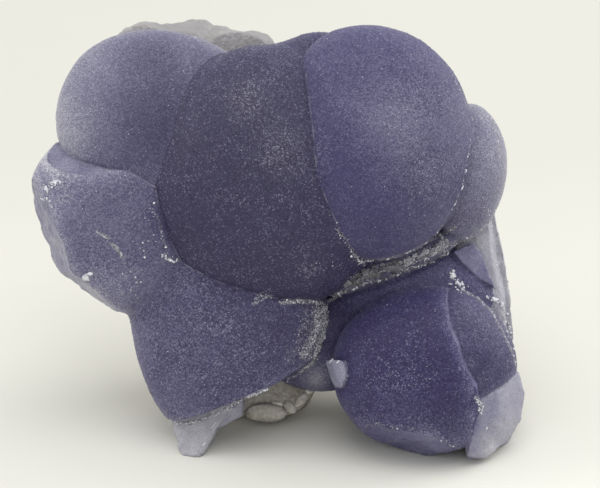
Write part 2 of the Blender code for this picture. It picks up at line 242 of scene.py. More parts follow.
# Seams and edges coated with small crystals: pixels along each, half width in pixels, crystals to
# a square millimetre, their least and greatest size, how pale, how much that varies, how patchy
DRUSE = [
    # The band between the domes
    ([(352, 281), (366, 274), (385, 269), (403, 264), (420, 256), (434, 250), (448, 243)], 7.5, 1.6,
     (0.25, 0.7), 0.3, 0.3, 0.4),
    ([(350, 283), (366, 275), (385, 269), (403, 264), (420, 256), (434, 250), (446, 243)], 8, 4,
     (0.12, 0.3), 0.78, 0.25, 0.8),
    ([(364, 261), (385, 259), (403, 255), (420, 247), (436, 237)], 1.3, 10, (0.15, 0.42), 0.82, 0.25, 0.9),
    ([(349, 291), (366, 283), (385, 279), (403, 272), (432, 262), (450, 250)], 1.6, 10, (0.15, 0.45), 0.8,
     0.25, 0.9),
    ([(327, 303), (337, 295), (349, 288)], 2.2, 12, (0.15, 0.45), 0.65, 0.4, 0.5),
    ([(437, 236), (447, 232), (456, 227)], 2.5, 9, (0.12, 0.4), 0.7, 0.3, 0.5),
    ([(444, 246), (458, 242), (474, 238)], 3, 7, (0.12, 0.4), 0.66, 0.3, 0.6),
    # The lower left dome
    ([(325, 305), (326, 320), (322, 338), (314, 358)], 3, 34, (0.1, 0.3), 0.92, 0.2, 0.4),
    ([(319, 306), (319, 322), (314, 338), (305, 355)], 7, 24, (0.09, 0.26), 0.84, 0.3, 0.8),
    ([(307, 306), (308, 324), (301, 341), (290, 356)], 11, 7, (0.08, 0.22), 0.62, 0.35, 1),
    ([(281, 302), (296, 301), (310, 302), (322, 303)], 2.6, 15, (0.12, 0.42), 0.9, 0.2, 0.7),
    ([(254, 302), (262, 297), (270, 295)], 5, 7, (0.12, 0.32), 0.8, 0.2, 0.9),
    ([(314, 361), (301, 372), (286, 381), (271, 388), (253, 395)], 1.9, 16, (0.12, 0.4), 0.88, 0.25, 0.7),
    ([(253, 395), (235, 403), (223, 411), (207, 418), (190, 423), (177, 424), (168, 421)], 1.5, 22,
     (0.12, 0.32), 0.96, 0.15, 0.7),
    # The lower right dome, the layers beside it and the rim of the upper left dome
    ([(365, 427), (379, 424), (393, 427), (410, 428), (424, 434), (441, 440), (455, 447), (473, 455)], 2.2,
     6, (0.12, 0.3), 0.62, 0.35, 1),
    ([(488, 210), (493, 235), (496, 262), (503, 285)], 0.8, 9, (0.1, 0.3), 0.9, 0.1, 0.7),
    ([(494, 218), (503, 250), (508, 280), (511, 300)], 5, 4, (0.1, 0.26), 0.85, 0.15, 0.9),
    ([(178, 31), (192, 36), (205, 43), (216, 52)], 2.6, 5, (0.09, 0.24), 0.8, 0.2, 0.9),
    ([(476, 398), (480, 404), (481, 412)], 3, 12, (0.15, 0.4), 0.9, 0.2, 0.6),
    ([(462, 290), (478, 298), (492, 312), (503, 332), (512, 352), (519, 372)], 0.9, 12, (0.12, 0.3), 0.85,
     0.2, 0.7),
    ([(450, 272), (456, 280), (464, 289)], 4.5, 8, (0.2, 0.6), 0.95, 0.1, 0.6),
    ([(490, 297), (500, 302), (504, 314), (509, 330), (516, 348)], 4, 7, (0.2, 0.6), 0.9, 0.2, 0.8),
    # The upper right dome, the middle one and the far right one
    ([(472, 128), (469, 150), (466, 170), (462, 188), (455, 204), (446, 220), (434, 237)], 1, 7,
     (0.12, 0.32), 0.88, 0.2, 1),
    ([(446, 66), (458, 85), (466, 105), (469, 124)], 7, 2.6, (0.12, 0.28), 0.7, 0.3, 0.9),
    ([(330, 212), (338, 230), (350, 248), (362, 263)], 3, 6, (0.12, 0.32), 0.75, 0.3, 1),
    ([(300, 262), (318, 268), (338, 258), (350, 270)], 9, 1.6, (0.12, 0.28), 0.55, 0.3, 1),
    ([(352, 252), (358, 259), (364, 263)], 4, 9, (0.12, 0.4), 0.85, 0.2, 0.7),
    ([(480, 114), (490, 118), (496, 127), (499, 140), (499, 158)], 2.2, 9, (0.1, 0.3), 0.85, 0.2, 0.9),
    ([(451, 247), (465, 240), (478, 232), (487, 224)], 1.4, 9, (0.12, 0.3), 0.7, 0.3, 0.6),
    ([(500, 195), (493, 215), (480, 234)], 2.5, 2, (0.12, 0.32), 0.85, 0.2, 1),
    ([(150, 205), (155, 213), (160, 226), (164, 243), (168, 256), (174, 261)], 2.6, 6.4, (0.1, 0.28), 0.84,
     0.2, 1),
    # The left dome
    ([(163, 257), (176, 260)], 3.5, 7, (0.2, 0.55), 0.9, 0.2, 0.8),
    ([(97, 232), (103, 235), (110, 239)], 1.1, 22, (0.1, 0.3), 0.62, 0.25, 0.2),
    ([(110, 243), (117, 248), (122, 257)], 1.5, 22, (0.1, 0.3), 0.6, 0.25, 0.2),
    ([(100, 170), (112, 172), (122, 174), (134, 176)], 1.2, 6, (0.12, 0.3), 0.8, 0.2, 1),
    ([(44, 188), (51, 184), (62, 184)], 4.5, 8, (0.15, 0.5), 0.95, 0.15, 0.8),
    ([(46, 196), (50, 206)], 3, 6, (0.15, 0.45), 0.9, 0.2, 0.8),
    ([(152, 221), (137, 268), (125, 284), (146, 289)], 16, 0.2, (0.2, 0.42), 0.8, 0.15, 0),
]

# The same for the plates of crystal in the widest seam
PLATES = [
    ([(350, 282), (366, 275), (385, 269), (403, 264)], 7, 1.6, (1.1, 2.5), 0.14, 0.14, 0),
    ([(403, 264), (420, 257), (434, 250), (447, 243)], 8, 1.7, (1, 2.5), 0.42, 0.2, 0),
    ([(328, 302), (338, 295), (349, 288)], 2, 2, (0.6, 1.2), 0.34, 0.2, 0),
]

# Chips and slivers of broken crust: pixel, length, width, turn in degrees, how pale
CHIPS = [
    (86, 278, 2.4, 1.7, 70, 0.82), (90, 274, 1.4, 0.9, 20, 0.88), (73, 283, 1.6, 0.6, -50, 0.8),
    (105, 237, 1.4, 0.5, -30, 0.8), (121, 254, 1.2, 0.5, -60, 0.76),
    (55, 182, 3, 0.7, 8, 0.9), (47, 190, 2.2, 0.6, -75, 0.85), (44, 200, 2, 0.5, -70, 0.8),
    (213, 426, 3.4, 0.28, 60, 0.95), (204, 444, 1.3, 0.28, 48, 0.95), (229, 410, 4.4, 0.35, 26, 0.8),
    (453, 275, 1.5, 0.8, 60, 0.95), (451, 284, 1.3, 0.5, 10, 0.9), (458, 290, 1, 0.5, -30, 0.9),
    (496, 300, 2.6, 1, -20, 0.9), (502, 305, 1.4, 1.1, 40, 0.9), (487, 297, 1.6, 0.6, -30, 0.85),
    (331, 361, 1.6, 0.5, 12, 0.85), (338, 362, 1, 0.4, 40, 0.85),
    (462, 188, 1.6, 0.3, 62, 0.95), (466, 171, 1.1, 0.3, 75, 0.9), (455, 204, 0.9, 0.3, 55, 0.9),
    (487, 428, 1, 0.4, 80, 0.85), (166, 247, 0.8, 0.5, 0, 0.9), (154, 203, 0.7, 0.5, 30, 0.9),
]

# Rounded crystals on the foot of the matrix: pixel, length, width, turn in degrees, how pale
PEBBLES = [
    (266, 413, 9, 4.6, -4, 0.34), (274, 405, 3.8, 1.7, 6, 0.5), (290, 407, 3.4, 2.2, -40, 0.14),
    (302, 399, 4.2, 2, 46, 0.3), (309, 391, 2.4, 1.4, 30, 0.4),
]

# The same as TONES, without the grey, for the pale lump of quartz at the top: paler spots, painted light on
# its faces that fall in shade; and its own tone
TOP_PAINTED_LIGHT = [(232, 45, 20, 0.6), (132, 28, 26, 0.38)]
TOP_TONE = -0.36

RIM_GLOW_POWER = 1.6  # how quickly a lobe turns from its crown's tone to its rim's, whose paler painted glow stands for light through the thin edge
BLEND_WIDTH = 2.2  # how far lobes that have grown together shade into one another
EDGE_HIGHLIGHT, EDGE_WIDTH = 0.16, 1.3  # painted highlight on the grown skin beside a break: how much paler and how wide
# painted shade in the creases between lobes: how much darker and how far it reaches
CREASE_PAINTED_DARKNESS, CREASE_PAINTED_REACH = 0.08, 2.5

# Colours from the darkest to the palest; the skin's last one is at PALEST and the quartz's last
# one at PALEST_QUARTZ
PALEST = 1.25
PALEST_QUARTZ = 1.33
FLUORITE_COLOURS = [
    (0, (0.027, 0.021, 0.073)), (0.28, (0.06, 0.053, 0.136)), (0.56, (0.156, 0.15, 0.252)),
    (0.8, (0.345, 0.338, 0.414)), (1, (0.6, 0.592, 0.64)),
]
GRAIN_COLOURS = [
    (0, (0.025, 0.02, 0.06)), (0.35, (0.064, 0.058, 0.118)), (0.7, (0.18, 0.173, 0.262)),
    (1, (0.66, 0.65, 0.7)),
]
CRYSTAL_COLOURS = [
    (0, (0.055, 0.048, 0.055)), (0.35, (0.15, 0.145, 0.168)), (0.7, (0.358, 0.36, 0.398)),
    (1, (0.86, 0.866, 0.905)),
]
COAT_COLOURS = [
    (0, (0.08, 0.074, 0.09)), (0.4, (0.175, 0.168, 0.19)), (0.75, (0.34, 0.335, 0.36)),
    (1, (0.66, 0.66, 0.68)),
]
QUARTZ_COLOURS = [
    (0.15, (0.15, 0.133, 0.102)), (0.3, (0.265, 0.235, 0.185)), (0.45, (0.35, 0.32, 0.272)),
    (0.6, (0.48, 0.452, 0.405)), (0.75, (0.66, 0.63, 0.56)), (1, (0.93, 0.89, 0.8)),
]
# colours of the painted glints and of the painted highlight just inside the lips
GLINT_COLOUR, LIP_HIGHLIGHT_COLOUR = (0.4, 0.39, 0.45), (0.33, 0.32, 0.38)
STAIN_COLOUR, COOL_COLOUR = (0.15, 0.12, 0.085), (0.375, 0.37, 0.392)

# The floor's colour gets a little darker from near to far, which are in metres: painted shade for the lamps'
# light falling off towards the back
FLOOR_NEAR, FLOOR_FAR = -0.08, 0.15
FLOOR_COLOURS = [(0, (0.772, 0.764, 0.7)), (1, (0.63, 0.622, 0.564))]

# Each light: place in metres, height of the point that it lights, size, power
LIGHT_COLOUR = (1, 0.99, 0.97)
WORLD_COLOUR, WORLD_STRENGTH = (0.97, 0.98, 1, 1), 0.78
LIGHTS = {
    "above": ((0.12, -0.22, 1.15), 0.03, (1.1, 0.9), 5.4),
    "left": ((-0.9, 0.05, 0.5), 0.04, (0.7, 0.7), 3.2),
    "right": ((0.85, 0.42, 0.55), 0.03, (0.6, 0.6), 4.8),
}

BOX_FACES = [
    [0, 2, 3], [0, 3, 1], [4, 5, 7], [4, 7, 6], [0, 1, 5], [0, 5, 4],
    [2, 6, 7], [2, 7, 3], [0, 4, 6], [0, 6, 2], [1, 3, 7], [1, 7, 5],
]


def from_face(points):
    """Points of the display face's frame, in millimetres, in the specimen's own frame in metres."""
    across, up, out = np.asarray(points, float).T
    placed = np.stack([across, up * SINE - out * COSINE, up * COSINE + out * SINE], axis=1)
    return (placed - np.array(ORIGIN)) * MM


def level_of(points):
    """How high points of the face's frame are above its middle when the specimen stands."""
    return points[:, 1] * COSINE + points[:, 2] * SINE


def noise_at(points, span, shift=0.0):
    """Smooth noise, from about -1 to 1, that changes over this many millimetres."""
    return np.array([noise.noise(place) for place in (points / span + shift).tolist()])


def layered(points, layers):
    return sum(height * noise_at(points, span, shift) for height, span, shift in layers)


def smoothstep(low, high, value):
    share = np.clip((value - low) / (high - low), 0, 1)
    return share * share * (3 - 2 * share)


def arrays_from(bm):
    """Points and triangles of this mesh, which is then freed."""
    bm.verts.index_update()
    points = np.array([vertex.co[:] for vertex in bm.verts])
    faces = np.array([[vertex.index for vertex in face.verts] for face in bm.faces])
    bm.free()
    return points, faces


def unit_ball():
    bm = bmesh.new()
    bmesh.ops.create_icosphere(bm, subdivisions=BALL_ROUNDS, radius=1.0)
    return arrays_from(bm)


def hull_of(corners, cuts):
    """Points and triangles of the hull of these corners, and its sides' normals and offsets."""
    bm = bmesh.new()
    for corner in corners:
        bm.verts.new(corner)
    hull = bmesh.ops.convex_hull(bm, input=bm.verts[:])
    inside = {item for item in hull["geom_interior"] if isinstance(item, bmesh.types.BMVert)}
    bmesh.ops.delete(bm, geom=list(inside), context="VERTS")
    bmesh.ops.recalc_face_normals(bm, faces=bm.faces[:])
    bm.normal_update()
    normals = np.array([face.normal[:] for face in bm.faces])
    offsets = np.array([face.normal.dot(face.verts[0].co) for face in bm.faces])
    if cuts:
        bmesh.ops.subdivide_edges(bm, edges=bm.edges[:], cuts=cuts, use_grid_fill=True)
    bmesh.ops.triangulate(bm, faces=bm.faces[:])
    return *arrays_from(bm), (normals, offsets)


def spin_of(roll):
    return np.array(Matrix.Rotation(math.radians(roll), 3, "Z"))


def break_depth(points, point, normal):
    """How far beyond a rough break each point is, and the direction that the break faces."""
    facing = np.array(Vector(normal).normalized())
    straight = (points - np.array(point)) @ facing
    rough = layered(points - straight[:, None] * facing, BREAK_RELIEF)
    smooth = point[0] > SMOOTH_BREAKS or facing[1] > FACING_UP
    return straight + rough * (SMOOTH_SHARE if smooth else 1.0), facing


def broken(points, name):
    """The points, with those beyond the breaks of this name moved straight back onto them."""
    for point, normal, _ in BREAKS.get(name, []):
        depth, facing = break_depth(points, point, normal)
        points = points - np.maximum(depth, 0)[:, None] * facing
    return points


def contact_height(points):
    """How far out the fluorite meets the matrix at these points."""
    return CONTACT_OUT + noise_at(points * np.array([1, 1, 0]), CONTACT_SPAN) * CONTACT_HEIGHT


def on_ground(points):
    """The points, with those below the resting level moved straight up to it."""
    low = np.maximum(REST_LEVEL - level_of(points), 0)
    return points + low[:, None] * np.array([0, COSINE, SINE])


def sizes_at(out, half_sizes):
    """A lobe's half sizes on its display side and behind it."""
    return np.where(out > 0, [half_sizes], [(*half_sizes[:2], LOBE_BACK)])


def lobe_points(ball, centre, half_sizes, roll):
    spin = spin_of(roll)
    place = (ball * sizes_at(ball[:, 2:], half_sizes)) @ spin.T + np.array(centre)
    return place + (ball @ spin.T) * noise_at(place, LUMP_SPAN)[:, None] * LUMP_HEIGHT


def rock_points(ball, centre, half_sizes):
    place = ball * np.array(half_sizes) + np.array(centre)
    return place + ball * noise_at(place, ROCK_SPAN)[:, None] * ROCK_HEIGHT


def linked(name, data):
    made = bpy.data.objects.new(name, data)
    bpy.context.scene.collection.objects.link(made)
    return made


def object_from(name, points, faces):
    """An object whose mesh has these points and triangles."""
    mesh = bpy.data.meshes.new(name)
    mesh.vertices.add(len(points))
    mesh.vertices.foreach_set("co", np.asarray(points, np.float32).ravel())
    mesh.loops.add(faces.size)
    mesh.loops.foreach_set("vertex_index", faces.ravel().astype(np.int32))
    mesh.polygons.add(len(faces))
    mesh.polygons.foreach_set("loop_start", np.arange(0, faces.size, 3, dtype=np.int32))
    mesh.update(calc_edges=True)
    return linked(name, mesh)


def threes(items, key, kind=float):
    """This property of all the items, three values to a row."""
    values = np.zeros(len(items) * 3, kind)
    items.foreach_get(key, values)
    return values.reshape(-1, 3)


def through(points, faces, kind, **settings):
    """A solid after one modifier: its points, its triangles and the points' normals."""
    obj = object_from("work", points, faces)
    step = obj.modifiers.new(kind, kind)
    for key, value in settings.items():
        setattr(step, key, value)
    graph = bpy.context.evaluated_depsgraph_get()
    mesh, source = bpy.data.meshes.new_from_object(obj.evaluated_get(graph)), obj.data
    mesh.calc_loop_triangles()
    points, normals = threes(mesh.vertices, "co"), threes(mesh.vertices, "normal")
    faces = threes(mesh.loop_triangles, "vertices", np.int32)
    bpy.data.objects.remove(obj)
    bpy.data.meshes.remove(source)
    bpy.data.meshes.remove(mesh)
    return points, faces, normals


def joined(parts):
    """One list of points and one of triangles for several solids."""
    starts = np.cumsum([0] + [len(points) for points, _ in parts[:-1]])
    faces = [faces + start for (_, faces), start in zip(parts, starts)]
    return np.concatenate([points for points, _ in parts]), np.concatenate(faces)


def united(kind, parts, limit, overlap):
    """One solid of these, cut off where the other kind begins and at the resting level."""
    points, faces = joined(parts)
    points[:, 2] = limit(points[:, 2], contact_height(points) + overlap)
    return through(on_ground(points), faces, "REMESH", mode="VOXEL", voxel_size=VOXEL[kind])


def lightened(kind, points, faces):
    """The same surface in no more triangles than TRIANGLES gives for a piece of this kind."""
    share = TRIANGLES[kind] / len(faces)
    return through(points, faces, "DECIMATE", ratio=share)[:2] if share < 1 else (points, faces)


def lengths(rows):
    return np.linalg.norm(rows, axis=1)


def lobe_distance(points, swell, centre, half_sizes, roll):
    """About how far outside a lobe each point is, the way out, and how far towards the crown."""
    spin = spin_of(roll)
    local = (points - np.array(centre)) @ spin
    sizes = sizes_at(local[:, 2:], half_sizes)
    scaled = local / sizes
    radius, slope = lengths(scaled), np.maximum(lengths(scaled / sizes), TINY)
    crown = scaled[:, 2] / np.maximum(radius, TINY)
    outward = (scaled / sizes / slope[:, None]) @ spin.T
    return radius * (radius - 1) / slope - swell, outward, crown


def within(found, group):
    """Where the lobe of a point and the next one both belong to this group."""
    members = [list(LOBES).index(name) for name in group]
    return np.isin(found["owner"], members) & np.isin(found["other"], members)


def lip_depths(found, outwards, rows):
    """How far inside each lobe with a pale edge the points are."""
    owner, other, distances = found["owner"], found["other"], found["distances"]
    depths = {}
    for name in LIPS:
        index = list(LOBES).index(name)
        nearest = np.where(owner == index, other, owner)
        bend = lengths(outwards[index] - outwards[nearest, rows])
        inside = distances[nearest, rows] - distances[index]
        for group, _ in MERGED:
            if name in group:
                inside = np.where(within(found, group), FAR, inside)
        depths[name] = np.clip(inside / np.maximum(bend, 0.25), -NEAR, NEAR)
    return depths


def belonging(points, chunk_sides):
    """The lobe or broken piece that each point belongs to and the next one, which break is nearest,
    how far past its edge the point is (negative on grown skin), how far towards the crown, how far
    from the next one and how sharp the crease between the two is."""
    swell = noise_at(points, LUMP_SPAN) * LUMP_HEIGHT
    count, rows = len(points), np.arange(len(points))
    parts = []
    for name, lobe in LOBES.items():
        distance, outward, crown = lobe_distance(points, swell, *lobe[:3])
        deepest, which = np.full(count, -FAR), np.zeros(count, int)
        for index, (point, normal, _) in enumerate(BREAKS.get(name, [])):
            depth, facing = break_depth(points, point, normal)
            which = np.where(depth > deepest, index, which)
            outward = np.where((depth > np.maximum(deepest, distance))[:, None], facing, outward)
            deepest = np.maximum(deepest, depth)
        parts.append((np.maximum(distance, deepest), deepest - distance, which, crown, outward))
    for normals, offsets in chunk_sides.values():
        reach = points @ normals.T - offsets
        side = np.argmax(reach, axis=1)
        none = np.zeros(count, int)
        parts.append((reach[rows, side], none + FAR, none, none, normals[side]))
    distances, cuts, whiches, crowns, outwards = (np.array(column) for column in zip(*parts))
    owner, other = np.argsort(distances, axis=0)[:2]
    gap = distances[other, rows] - distances[owner, rows]
    sharp = lengths(outwards[owner, rows] - outwards[other, rows])
    found = {
        "distances": distances,
        "owner": owner,
        "other": other,
        "which": whiches[owner, rows],
        "cut": np.clip(cuts[owner, rows], -NEAR, NEAR),
        "crown": crowns[owner, rows],
        "away": gap / np.maximum(sharp, 0.05),
        "sharp": sharp,
    }
    found["lips"] = lip_depths(found, outwards, rows)
    return found


def pixel_of(points):
    """Where the photograph shows these points of the face's frame."""
    camera = np.array(CAMERA)
    along = points - camera
    flat = camera + along * (-camera[2] / along[:, 2])[:, None]
    return MIDDLE[0] + flat[:, 0] / PIXEL, MIDDLE[1] - flat[:, 1] / PIXEL


def near_line(pixels, line, width):
    """1 on a line through these pixels of the photograph, fading to 0 this many pixels away."""
    place = np.stack(pixels, axis=1)
    best = np.full(len(place), np.inf)
    for start, end in zip(np.array(line[:-1], float), np.array(line[1:], float)):
        along = end - start
        share = np.clip((place - start) @ along / (along @ along), 0, 1)
        best = np.minimum(best, lengths(place - start - share[:, None] * along))
    return 1 - smoothstep(0.2, 1.0, best / width)


def patch(pixels, x, y, radius):
    """1 at this pixel, fading away around it."""
    return np.exp(-((pixels[0] - x) ** 2 + (pixels[1] - y) ** 2) / radius ** 2)


def coated(points):
    """How thickly small crystals coat each point, from 0 to 1."""
    pixels = pixel_of(points)
    thick = np.zeros(len(points))
    for line, width, density, *_ in DRUSE:
        coat = near_line(pixels, line, 1.2 * width + 1.5) * min(1.0, density / WHOLE_COAT)
        thick = np.maximum(thick, coat)
    return thick * smoothstep(*COAT_ENDS, points[:, 2])


def cleaved_relief(points):
    """Flat steps with sharp edges."""
    lifted = layered(points, CLEAVAGE_WAVES) * CLEAVAGE_STEPS
    rise = np.floor(lifted) + smoothstep(0.75, 1.0, lifted - np.floor(lifted))
    return 0.7 * rise / CLEAVAGE_STEPS + layered(points, CLEAVED_RELIEF)


def merging(found):
    """How much the crease between two lobes that have grown together is smoothed at each point."""
    near = 1 - smoothstep(*MERGE_REACH, found["away"])
    return sum(within(found, group) * strength * near for group, strength in MERGED + SOFTENED)


def crease(found, width):
    """1 at the bottom of a sharp crease between two lobes, fading to 0 this far from it."""
    return smoothstep(0.2, 0.8, found["sharp"]) * np.exp(-((found["away"] / width) ** 2))


def relaxed(points, faces, share, rounds):
    """The points, each moved towards its neighbours by this share, again and again."""
    some = share > 0.001
    edges = np.concatenate([faces[:, [0, 1]], faces[:, [1, 2]], faces[:, [2, 0]]])
    edges = edges[some[edges[:, 0]] | some[edges[:, 1]]]
    if not len(edges):
        return points
    used = np.unique(edges)
    place = np.full(len(points), -1)
    place[used] = np.arange(len(used))
    start, end = place[edges[:, 0]], place[edges[:, 1]]
    moved, weight = points[used], (0.6 * share[used])[:, None]

    def gathered(values):
        return np.bincount(start, values[end], len(used)) + np.bincount(end, values[start], len(used))

    count = np.maximum(gathered(np.ones(len(used))), 1)[:, None]
    for _ in range(rounds):
        total = np.stack([gathered(column) for column in moved.T], axis=1)
        moved = moved + weight * (total / count - moved)
    made = points.copy()
    made[used] = moved
    return made


def crust_arrays(ball, lobes, chunks, sides):
    """Points and triangles of the piece of the crust made of these lobes and broken pieces."""
    ball_points, ball_faces = ball
    parts = [(broken(lobe_points(ball_points, *LOBES[name][:3]), name), ball_faces) for name in lobes]
    points, faces, normals = united("fluorite", parts + chunks, np.maximum, 0.0)
    found = belonging(points, sides)
    points = relaxed(points, faces, merging(found), MERGE_ROUNDS)
    rise = np.where(found["cut"] < 0, layered(points, GROWN_RELIEF), cleaved_relief(points))
    thick = coated(points)
    rise += thick * layered(points, COAT_RELIEF)
    smooth = np.minimum(3 * merging(found), 1)
    rise -= CREASE_DEPTH * crease(found, CREASE_WIDTH) * (1 - smooth) * (1 - thick)
    front = smoothstep(0.2, 1.0, points[:, 2] - contact_height(points))
    points = on_ground(points + normals * (rise * front)[:, None])
    return lightened("fluorite", points, faces)


def matrix_arrays(ball):
    ball_points, ball_faces = ball
    parts = [(broken(rock_points(ball_points, *sizes), "matrix"), ball_faces) for sizes in ROCKS.values()]
    points, faces, normals = united("matrix", parts, np.minimum, OVERLAP)
    behind = smoothstep(-0.2, 0.8, contact_height(points) - points[:, 2])
    points = on_ground(points + normals * (layered(points, QUARTZ_RELIEF) * behind)[:, None])
    return lightened("matrix", points, faces)


def blended_looks(distances):
    """The look of each lobe, where lobes that have grown together shade into one another."""
    names = list(LOBES)
    looks = {name: [value + 0 * distances[0] for value in LOBES[name][3]] for name in names}
    for group, _ in MERGED:
        members = [names.index(name) for name in group]
        near = np.exp((distances[members].min(axis=0) - distances[members]) / BLEND_WIDTH)
        near /= near.sum(axis=0)
        own = zip(*(LOBES[name][3] for name in group))
        looks.update(dict.fromkeys(group, [sum(near * np.array(part)[:, None]) for part in own]))
    return looks


def skin_fields(points, sides):
    """What the crust's material reads at each point."""
    found = belonging(points, sides)
    owner, which, crown, cut = (found[key] for key in ("owner", "which", "crown", "cut"))
    pale, grey, pale_cut, sparkle = (np.zeros(len(points)) for _ in range(4))
    looks = blended_looks(found["distances"])
    for index, name in enumerate(list(LOBES) + list(CHUNKS)):
        mine = owner == index
        if name in CHUNKS:
            pale[mine] = pale_cut[mine] = CHUNKS[name][0]
            grey[mine] = CHUNKS[name][1]
            continue
        middle, rim, lobe_grey = looks[name]
        # paler towards the rim: painted glow of light through the thin edge
        pale[mine] = (middle + (rim - middle) * (1 - np.clip(crown, 0, 1)) ** RIM_GLOW_POWER)[mine]
        grey[mine] = lobe_grey[mine]
        sparkle[mine] = LOBES[name][4]
        for place, (_, _, value) in enumerate(BREAKS.get(name, [])):
            pale_cut[mine & (which == place)] = value
    pixels = pixel_of(points)
    # patches of the skin's own tone and of painted light and shade
    for tones, tone, there in ((TONES, pale, cut < 0), (CUT_TONES, pale_cut, cut > 0)):
        for x, y, radius, paler, greyer in tones:
            here = patch(pixels, x, y, radius)
            tone += paler * here
            grey += greyer * here * there
    # a painted highlight on the grown skin beside a break
    pale += np.where(cut < 0, EDGE_HIGHLIGHT * np.exp(-((cut / EDGE_WIDTH) ** 2)), 0)
    # painted shade in sharp creases, less where lobes have grown together
    pale -= CREASE_PAINTED_DARKNESS * crease(found, CREASE_PAINTED_REACH) * (1 - merging(found))
    for x, y, radius, strength in SPARKLES:
        sparkle = np.maximum(sparkle, strength * patch(pixels, x, y, radius) * 1.2)
    sparkle *= 0.8 + 0.5 * noise_at(points, 5.0, 31.0)
    fields = {
        "pale": np.clip(pale, -0.25, 1.2),
        "pale_cut": pale_cut,
        "cut": cut,
        "grey": np.clip(grey, 0, 1),
        "druse": coated(points),
        "sparkle": np.clip(sparkle, 0, 1),
    }
    fields.update({"lip_" + name: value for name, value in found["lips"].items()})
    return fields


def by_node(operation, turned=False):
    """A way to work out two values, which adds a node for it."""
    def work(self, other):
        return self.look.maths(operation, *((other, self) if turned else (self, other)))
    return work


class Value:
    """What comes out of a node; arithmetic on it adds the nodes that work it out."""

    __add__ = __radd__ = by_node("ADD")
    __mul__ = __rmul__ = by_node("MULTIPLY")
    __sub__, __rsub__ = by_node("SUBTRACT"), by_node("SUBTRACT", turned=True)
    __truediv__ = by_node("DIVIDE")

    def __init__(self, look, socket):
        self.look, self.socket = look, socket


class Look:
    """A material in the making; its methods add nodes and give what comes out of them."""

    def __init__(self, name):
        self.material = bpy.data.materials.new(name)
        self.material.use_nodes = True
        self.tree = self.material.node_tree
        self.place = self.node("TexCoord", {}).outputs["Object"]

    def feed(self, node, inputs):
        """Links or sets each of these inputs of the node."""
        for key, value in inputs.items():
            value = value.socket if isinstance(value, Value) else value
            if isinstance(value, bpy.types.NodeSocket):
                self.tree.links.new(value, node.inputs[key])
            else:
                node.inputs[key].default_value = value

    def node(self, kind, inputs, **settings):
        node = self.tree.nodes.new("ShaderNode" + kind)
        for key, value in settings.items():
            setattr(node, key, value)
        self.feed(node, inputs)
        return node

    def value(self, kind, inputs, **settings):
        return Value(self, self.node(kind, inputs, **settings).outputs[0])

    def maths(self, operation, first, second=0.0, clamp=False):
        return self.value("Math", {0: first, 1: second}, operation=operation, use_clamp=clamp)

    def between(self, value, low, high):
        """0 below the low value and 1 above the high one, with a smooth change between them."""
        inputs = {"Value": value, "From Min": low, "From Max": high}
        return self.value("MapRange", inputs, interpolation_type="SMOOTHSTEP")

    def mix_values(self, share, first, second):
        return self.value("Mix", {0: share, 2: first, 3: second}, data_type="FLOAT")

    def mix_colours(self, share, first, second):
        second = second if isinstance(second, Value) else (*second, 1.0)
        node = self.node("Mix", {0: share, 6: first, 7: second}, data_type="RGBA")
        return Value(self, node.outputs[2])

    def ramp(self, value, stops):
        node = self.node("ValToRGB", {0: value})
        line = node.color_ramp
        while len(line.elements) < len(stops):
            line.elements.new(0.5)
        for element, (place, colour) in zip(line.elements, stops):
            element.position = place
            element.color = (*colour, 1.0)
        return Value(self, node.outputs[0])

    def field(self, name):
        """What the mesh says for each point under this name."""
        return Value(self, self.node("Attribute", {}, attribute_name=name).outputs["Fac"])

    def noise(self, span, detail=2.0, rough=0.5):
        """Noise from 0 to 1 that changes over this many millimetres."""
        inputs = {"Vector": self.place, "Scale": 1.0 / (span * MM), "Detail": detail, "Roughness": rough}
        return self.value("TexNoise", inputs)

    def clouds(self, height, *settings):
        """Noise with these settings around 0, half this height up and down."""
        return (self.noise(*settings) - 0.5) * height

    def cells(self, span):
        """For small cells of this size, a random number and the distance from the cell's middle."""
        made = self.node("TexVoronoi", {"Vector": self.place, "Scale": 1.0 / (span * MM)}).outputs
        return self.value("SeparateColor", {"Color": made["Color"]}), Value(self, made["Distance"])

    def bump(self, height, strength, distance):
        return self.value("Bump", {"Height": height, "Strength": strength, "Distance": distance * MM})

    def made(self, inputs):
        """The material, its shader given these inputs."""
        self.feed(self.tree.nodes["Principled BSDF"], inputs)
        return self.material


